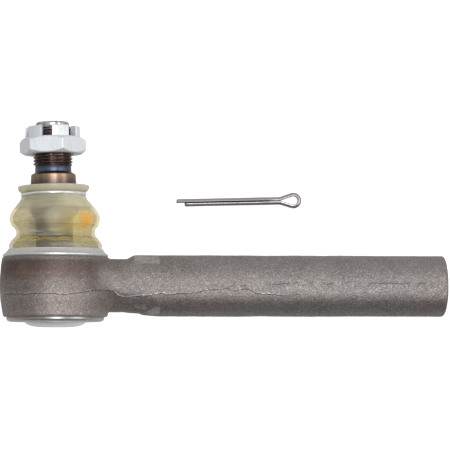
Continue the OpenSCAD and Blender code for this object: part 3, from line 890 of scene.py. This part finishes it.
for k in range(n):
    faces.append((len(verts) - 2, (k + 1) % n, k))
    faces.append((len(verts) - 1, (m - 1) * n + k, (m - 1) * n + (k + 1) % n))
stud = make("ball_stud_turned", to_row(leaning(verts)), faces, "stud", M_STUD, sharp=42, replaces=("ball_stud",))
fix_normals(stud)
# the hole for the split pin
NUT_Z, HEX_H, CROWN_H, CROWN_R = 79.9, 9.9, 6.8, 16.7
turn = math.radians(19)
u = np.array([math.cos(turn), math.sin(turn), 0])
w = np.array([-math.sin(turn), math.cos(turn), 0])
k = np.arange(40) * 2 * math.pi / 40
circ = 2.5 * (np.cos(k)[:, None] * w + np.sin(k)[:, None] * np.array([0, 0, 1.0])) + np.array([0, 0, NUT_Z + HEX_H + CROWN_H / 2])
pv = np.concatenate([circ - 20 * u, circ + 20 * u])
pf = [(a, (a + 1) % 40, 40 + (a + 1) % 40, 40 + a) for a in range(40)] + [tuple(range(40)), tuple(range(40, 80))[::-1]]
drill = make("drill", to_row(leaning(pv)), pf, None, M_STUD)
fix_normals(drill)
mod = stud.modifiers.new("hole", "BOOLEAN")
mod.operation, mod.solver, mod.object = "DIFFERENCE", "EXACT", drill
dg = bpy.context.evaluated_depsgraph_get()
me = bpy.data.meshes.new_from_object(stud.evaluated_get(dg))
stud.modifiers.clear()
stud.data = me
bpy.data.objects.remove(drill)
me.polygons.foreach_set("use_smooth", np.ones(len(me.polygons), bool))
me.set_sharp_from_angle(angle=math.radians(42))

# ------------------------------------------------------------------ castle nut
def nut_f(x, y, z):
    r = np.hypot(x, y)
    z = z - NUT_Z
    hexa = None
    for q in range(3):
        a = turn + q * math.pi / 3
        d = np.abs(x * math.cos(a) + y * math.sin(a)) - 18.0
        hexa = d if hexa is None else round_max(hexa, d, 0.22)
    low = ((r - 17.7) * 2.1 - z * 3.3) / math.hypot(2.1, 3.3)
    up = ((r - 17.6) * 2.1 - (HEX_H - z) * 3.3) / math.hypot(2.1, 3.3)
    body = round_max(hexa, low, 0.3)
    body = round_max(body, up, 0.3)
    body = np.maximum(np.maximum(body, -z), z - HEX_H)
    crown = np.maximum(round_max(r - CROWN_R, z - (HEX_H + CROWN_H), 0.7), HEX_H - 2 - z)
    for q in range(3):
        a = turn + q * math.pi / 3
        t = np.abs(-x * math.sin(a) + y * math.cos(a)) - 3.2
        slot = round_max(t, HEX_H + 0.3 - z, 0.5)
        crown = round_max(crown, -slot, 0.25)
    f = np.minimum(body, crown)
    hole = np.maximum(12.06 - r, -1e9)
    hole = np.maximum(hole, ((13.3 - z) - r) * 0.7071 + 0.0)
    return np.maximum(f, hole)


v, f = surface_nets(nut_f, (-21.6, -21.6, NUT_Z - 0.9), (21.6, 21.6, NUT_Z + HEX_H + CROWN_H + 0.9), 0.36, 4)
nut = make("castle_nut_rounded", to_row(leaning(v)), f, "nut", M_NUT, sharp=40, replaces=("castle_nut",))
fix_normals(nut)
thread_sleeve("castle_nut_thread", 12.06, 0.75, 13.05, HEX_H - 1.4, 2.0, 0.0, 96, 0.2,
              lambda p: leaning(p + np.array([0, 0, NUT_Z + 1.3])), "nut", M_NUT)


# ------------------------------------------------------------------ boot and rings
def spline(pts, step=0.5):
    """Smooth curve through (r, z) points."""
    p = np.array(pts, float)
    ext = np.vstack([2 * p[0] - p[1], p, 2 * p[-1] - p[-2]])
    out = []
    for i in range(1, len(ext) - 2):
        a, b, c, d = ext[i - 1:i + 3]
        k = max(2, int(np.linalg.norm(c - b) / step))
        for t in np.arange(k) / k:
            out.append(0.5 * ((2 * b) + (-a + c) * t + (2 * a - 5 * b + 4 * c - d) * t ** 2 + (-a + 3 * b - 3 * c + d) * t ** 3))
    out.append(p[-1])
    return np.array(out)


def boot_share(z):
    return smooth(z, 26, 53)


outside = spline([(27.75, HT + 0.1), (27.6, 18.6), (27.5, 20.5), (27.75, 22.2), (28.3, 23.4), (27.95, 25.15), (26.3, 27.6), (25.0, 28.9), (24.15, 30.0), (23.75, 31.85),
                  (24.1, 33.7), (25.0, 34.9), (26.1, 36.1), (27.15, 38.55), (27.46, 40.4), (27.2, 42.2), (26.2, 44.65), (24.2, 47.1),
                  (22.2, 49.5), (20.3, 52.0), (19.75, 53.3), (19.5, 54.1), (18.95, 54.6), (18.75, 55.35), (18.95, 56.1), (19.7, 56.6), (20.6, 57.05),
                  (21.1, 57.7), (21.5, 58.7), (21.78, 59.6), (21.6, 60.2), (21.1, 60.5), (20.2, 60.6)], 0.45)
top_edge = spline([(20.2, 60.6), (19.0, 60.45), (18.0, 60.5), (17.45, 60.2), (17.35, 59.0)], 0.4)
inside = spline([(17.35, 59.0), (17.35, 53.4), (18.1, 52.2), (20.1, 49.4), (22.0, 47.0), (24.2, 44.2), (25.3, 42.0), (25.45, 40.4), (25.2, 38.7), (24.2, 36.8),
                 (22.4, 34.4), (21.75, 31.9), (22.2, 29.2), (24.1, 26.9), (25.75, 25.0), (25.95, 23.6), (25.7, 22.2), (25.68, 19.0), (25.7, HT + 0.1)], 0.7)
shell = np.vstack([outside, top_edge[1:], inside[1:]])
nb = 176
v, f = lathe(shell, nb, closed=True)
ang = np.arctan2(v[:, 1], v[:, 0])
rr = np.hypot(v[:, 0], v[:, 1])
amp = smooth(v[:, 2], 24, 30) * smooth(v[:, 2], 53, 48)
wav = 0.16 * noise3(np.stack([14 * np.cos(ang), 14 * np.sin(ang), v[:, 2]], 1), 7.0, 31) + 0.07 * noise3(np.stack([24 * np.cos(ang), 24 * np.sin(ang), v[:, 2]], 1), 3.0, 33)
seam_line = np.exp(-((v[:, 2] - 36.3) / 0.28) ** 2) * 0.12
rr = rr + amp * (wav + np.where(rr > 25.6, seam_line, 0))
v = np.stack([rr * np.cos(ang), rr * np.sin(ang), v[:, 2]], 1)
v = leaning(v, boot_share(v[:, 2]))
boot = make("dust_boot_shell", to_row(v), f, None, M_BOOT, smooth_shade=True, replaces=("dust_boot",))
fix_normals(boot)
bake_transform(boot)

ring = rounded([(30.4, HT + 0.04, 0.15), (31.5, HT + 0.04, 0.35), (31.95, HT + 0.8, 0.5), (31.85, HT + 1.75, 0.8), (30.75, HT + 2.35, 0.8), (29.75, 20.3, 1.2), (29.05, 21.2, 1.0),
                (28.75, 21.95, 0.2), (28.2, 21.95, 0.2), (28.0, 21.0, 0.8), (28.6, 19.9, 1.2), (29.6, 18.3, 1.0)], 0.1, 5)
v, f = lathe(refine(ring, 0.6), 176, closed=True)
ob = make("boot_base_ring_pressed", to_row(v), f, "head", M_RING, sharp=55, replaces=("boot_base_ring",))
fix_normals(ob)

k = np.arange(20) * 2 * math.pi / 20
v, f = lathe(np.stack([19.2 + 0.9 * np.cos(k), 55.35 + 0.9 * np.sin(k)], 1), 160, closed=True)
v = v + np.stack([0 * v[:, 0], 0 * v[:, 0], 0.10 * np.sin(3 * np.arctan2(v[:, 1], v[:, 0]) + 0.6)], 1)
ob = make("boot_top_ring_wire", to_row(leaning(v)), f, "boot_lip", M_WIRE, replaces=("boot_top_ring",))
fix_normals(ob)

slip = rounded([(tap(52.8) + 0.32, 52.8, 0.3), (17.25, 52.8, 0.4), (17.25, 60.4, 0.4), (tap(60.4) + 0.32, 60.4, 0.3)], 0.3, 4)
slip = rounded([tuple(p) for p in slip] + [tuple(slip[0])], 0, 1)[:-1]
v, f = lathe(refine(slip, 1.2), 144, closed=True)
ob = make("boot_slip_ring_bush", to_row(leaning(v)), f, "boot_lip", M_SLIP, sharp=45, replaces=("boot_slip_ring",))
fix_normals(ob)

# ------------------------------------------------------------------ end cover
dish = [(0, -25.48), (5, -25.45), (9, -25.35, 3), (12.2, -25.1, 3), (15.2, -24.5, 3), (17.6, -23.4, 1.2), (18.5, -22.4, 0.8), (18.55, -20.3, 0.5),
        (19.1, -19.7, 0.4), (24.45, -19.6, 0.2), (24.5, -17.3, 0.3), (16.9, -17.3, 1.2), (16.85, -21.0, 1.0), (15.6, -22.1, 0.6), (13.2, -23.3, 1.0), (0, -23.3)]
v, f = lathe(refine(rounded(dish, 0, 5), 0.9), 160)
ob = make("end_cover_pressed", to_row(v), f, "head", M_COVER, sharp=50, replaces=("end_cover",))
fix_normals(ob)

# ------------------------------------------------------------------ loose split pin: one folded half-round wire
eye_in, eye_x = 2.7, 8.5
ln = math.asin((eye_in - 0.06) / eye_x)
gap = lambda s: 0.05
up_leg = [(-65.4, gap(-65.4)), (-50, gap(-50)), (-40, gap(-40)), (-25, gap(-25)), (-10, gap(-10)), (-1.8, 0.06)]
dn_leg = [(-60.3, -gap(-60.3)), (-50, -gap(-50)), (-40, -gap(-40)), (-25, -gap(-25)), (-10, -gap(-10)), (-1.8, -0.06)]
arc = [(eye_x + eye_in * math.cos(t), eye_in * math.sin(t)) for t in np.linspace(math.pi / 2 + ln, -math.pi / 2 - ln, 28)]
pts = up_leg + [(0.2, 0.12, 5.0)] + arc + [(0.2, -0.12, 5.0)] + dn_leg[::-1]
path = rounded(pts, 0.8, 5)
keep = [0]
for i in range(1, len(path)):
    if np.linalg.norm(path[i] - path[keep[-1]]) > 0.05:
        keep.append(i)
path = refine(path[keep], 0.8)
tan = np.gradient(path, axis=0)
tan /= np.linalg.norm(tan, axis=1, keepdims=True)
nor = np.stack([-tan[:, 1], tan[:, 0]], 1)
length = np.concatenate([[0], np.cumsum(np.linalg.norm(np.diff(path, axis=0), axis=1))])
s_end = np.minimum(length, length[-1] - length)
scale = 0.90 + 0.10 * smooth(s_end, 0, 55)
scale = np.where(s_end < 0.5, scale * (0.8 + 0.4 * s_end), scale)
R = 2.28
phi = np.linspace(-math.pi / 2, math.pi / 2, 15)
section = np.stack([R * np.cos(phi) * 1.02, R * np.sin(phi)], 1)
section[0], section[-1] = (0.42, -R * 0.97), (0.42, R * 0.97)
section = np.vstack([[(0.0, -R * 0.8)], section, [(0.0, R * 0.8)]])
wide = 1.0 + 0.05 * smooth(s_end, 66, 50) + 0.08 * smooth(s_end, 40, 0)
ns = len(section)
PX, PY, PZ, PT = PIN_AT[0], PIN_AT[1], -HEAD_R + 2.3, PIN_TURN
verts = []
for i in range(len(path)):
    q = path[i] + nor[i] * section[:, :1] * scale[i] * wide[i]
    zc = section[:, 1] * scale[i]
    X = PX + q[:, 0] * math.cos(PT) - q[:, 1] * math.sin(PT)
    Y = PY + q[:, 0] * math.sin(PT) + q[:, 1] * math.cos(PT)
    verts.append(np.stack([X, Y, PZ + zc], 1))
verts = np.concatenate(verts) / MM
m = len(path)
faces = [(i * ns + j, i * ns + (j + 1) % ns, (i + 1) * ns + (j + 1) % ns, (i + 1) * ns + j) for i in range(m - 1) for j in range(ns)]
faces += [tuple(range(ns)), tuple(range((m - 1) * ns, m * ns))[::-1]]
pin = make("split_pin_wire", verts, faces, "loose_pin", M_PIN, sharp=50, replaces=("cotter_pin",))
fix_normals(pin)

# ------------------------------------------------------------------ inner pieces keep their CAD shape
for name, mat, slot_name in (("upper_race", M_RACE, "bearing_plastic"), ("lower_race", M_RACE, "bearing_plastic"),
                             ("preload_spring", M_SPRING, "spring_steel"), ("cover_seal", M_SEAL, "seal_rubber")):
    node = frame["nodes"][name]
    node.data.materials.clear()
    node.data.materials.append(mat)
    node.data.polygons.foreach_set("use_smooth", np.ones(len(node.data.polygons), bool))
    node.data.set_sharp_from_angle(angle=math.radians(40))
for name in ("housing", "ball_stud", "end_cover", "dust_boot", "boot_base_ring", "boot_top_ring", "boot_slip_ring", "castle_nut", "cotter_pin"):
    mats = {"housing": M_FORGED, "ball_stud": M_STUD, "end_cover": M_COVER, "dust_boot": M_BOOT, "boot_base_ring": M_RING,
            "boot_top_ring": M_WIRE, "boot_slip_ring": M_SLIP, "castle_nut": M_NUT, "cotter_pin": M_PIN}
    frame["nodes"][name].data.materials.clear()
    frame["nodes"][name].data.materials.append(mats[name])

# ------------------------------------------------------------------ camera, at the fitted viewing angle
TX, TY, DIST, SCALE = 3.8, 3.7, 1128.0, 0.6125
axis = Vector((-math.tan(math.radians(TX)), -math.tan(math.radians(TY)), 1)).normalized()
target = Vector((103.197, 37.21, 0))
cam_data = bpy.data.cameras.new("camera")
cam = bpy.data.objects.new("camera", cam_data)
COL.objects.link(cam)
cam.location = (target + axis * DIST) / MM
cx = Vector((0, 1, 0)).cross(axis).normalized()
cy = axis.cross(cx)
cam.rotation_mode = "QUATERNION"
cam.rotation_quaternion = Matrix((cx, cy, axis)).transposed().to_quaternion()
cam_data.sensor_width = 36
cam_data.lens = DIST / SCALE / 450 * 36
cam_data.clip_start, cam_data.clip_end = 0.01, 20
cam_data.dof.use_dof = False
bpy.context.scene.camera = cam

# ------------------------------------------------------------------ floor and light
bm = bmesh.new()
bmesh.ops.create_grid(bm, x_segments=2, y_segments=2, size=1.0)
fm = bpy.data.meshes.new("floor")
bm.to_mesh(fm)
bm.free()
floor = bpy.data.objects.new("floor", fm)
floor.scale = (6, 6, 1)
floor.location = (0.1, 0, -HEAD_R / MM - 0.0006)
COL.objects.link(floor)
q = Paint("floor_white")
e = q.t.nodes.new("ShaderNodeEmission")
e.inputs["Color"].default_value = (1, 1, 1, 1)
e.inputs["Strength"].default_value = 0.9
ad = q.t.nodes.new("ShaderNodeAddShader")
q.put(ad.inputs[0], e.outputs[0])
q.put(ad.inputs[1], q.shader(Base_Color=(0.35, 0.35, 0.35, 1), Roughness=0.9, Specular_IOR_Level=0.0))
fm.materials.append(q.done(ad.outputs[0]))
floor.visible_glossy = False

world = bpy.data.worlds.new("studio")
bpy.context.scene.world = world
world.use_nodes = True
wt = world.node_tree
bg = wt.nodes["Background"]
tc = wt.nodes.new("ShaderNodeTexCoord")
sp = wt.nodes.new("ShaderNodeSeparateXYZ")
wt.links.new(tc.outputs["Generated"], sp.inputs[0])
mr = wt.nodes.new("ShaderNodeMapRange")
mr.interpolation_type = "SMOOTHSTEP"
wt.links.new(sp.outputs[1], mr.inputs["Value"])
for kk, vv in (("From Min", -0.8), ("From Max", 0.5), ("To Min", 0.03), ("To Max", 0.64)):
    mr.inputs[kk].default_value = vv
below = wt.nodes.new("ShaderNodeMapRange")
below.interpolation_type = "SMOOTHSTEP"
wt.links.new(sp.outputs[2], below.inputs["Value"])
for kk, vv in (("From Min", -0.1), ("From Max", -0.45), ("To Min", 0.0), ("To Max", 1.0)):
    below.inputs[kk].default_value = vv
blend = wt.nodes.new("ShaderNodeMix")
wt.links.new(below.outputs[0], blend.inputs["Factor"])
wt.links.new(mr.outputs[0], blend.inputs[2])
blend.inputs[3].default_value = 0.58
wt.links.new(blend.outputs[0], bg.inputs["Strength"])
bg.inputs["Color"].default_value = (1, 0.995, 0.985, 1)


def area(name, where, aim, size, power, size_y=None, colour=(1, 1, 1)):
    d = bpy.data.lights.new(name, "AREA")
    d.energy = power
    d.size = size
    if size_y:
        d.shape, d.size_y = "RECTANGLE", size_y
    d.color = colour
    o = bpy.data.objects.new(name, d)
    o.location = where
    o.rotation_mode = "QUATERNION"
    o.rotation_quaternion = (Vector(aim) - Vector(where)).to_track_quat("-Z", "Y")
    COL.objects.link(o)
    return o


area("softbox_over", (0.10, -0.04, 1.30), (0.10, 0.0, 0.0), 0.42, 14.0, 1.3)
area("softbox_right", (1.10, -0.02, 0.80), (0.05, 0.02, 0.0), 1.0, 6.0, 0.55)

bpy.context.scene.view_settings.view_transform = "Standard"
bpy.context.scene.view_settings.look = "None"
